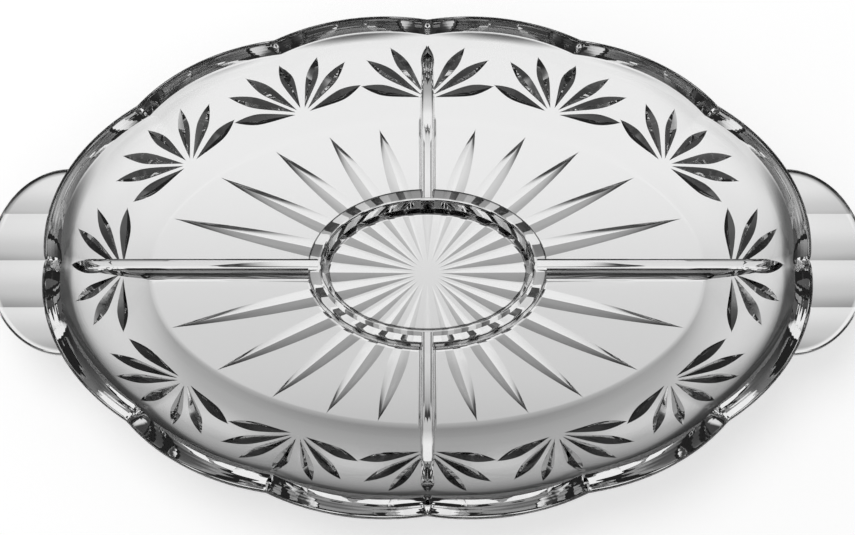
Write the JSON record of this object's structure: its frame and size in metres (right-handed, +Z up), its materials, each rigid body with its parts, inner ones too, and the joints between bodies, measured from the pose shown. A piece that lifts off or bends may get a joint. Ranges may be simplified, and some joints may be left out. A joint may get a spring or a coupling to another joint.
{
  "type": "divided relish dish",
  "caption": "Oval divided serving dish of clear pressed crystal: scalloped rim, raised centre ring with radiating dividers, star-cut floor, fan-cut wall and fluted tab handles.",
  "frame": {"origin": "middle of the flat underside, on the table", "axes": "+X along the dish from handle to handle, +Y across it, +Z up"},
  "size_m": [0.33, 0.192, 0.033],
  "materials": {
    "crystal": "clear polished crystal"
  },
  "bodies": {
    "root": {"floor_plate": "crystal", "side_wall": "crystal", "scalloped_rim": "crystal", "centre_ring": "crystal", "divider_left": "crystal", "divider_right": "crystal", "divider_far": "crystal", "divider_near": "crystal", "handle_left": "crystal", "handle_right": "crystal"}
  },
  "joints": []
}
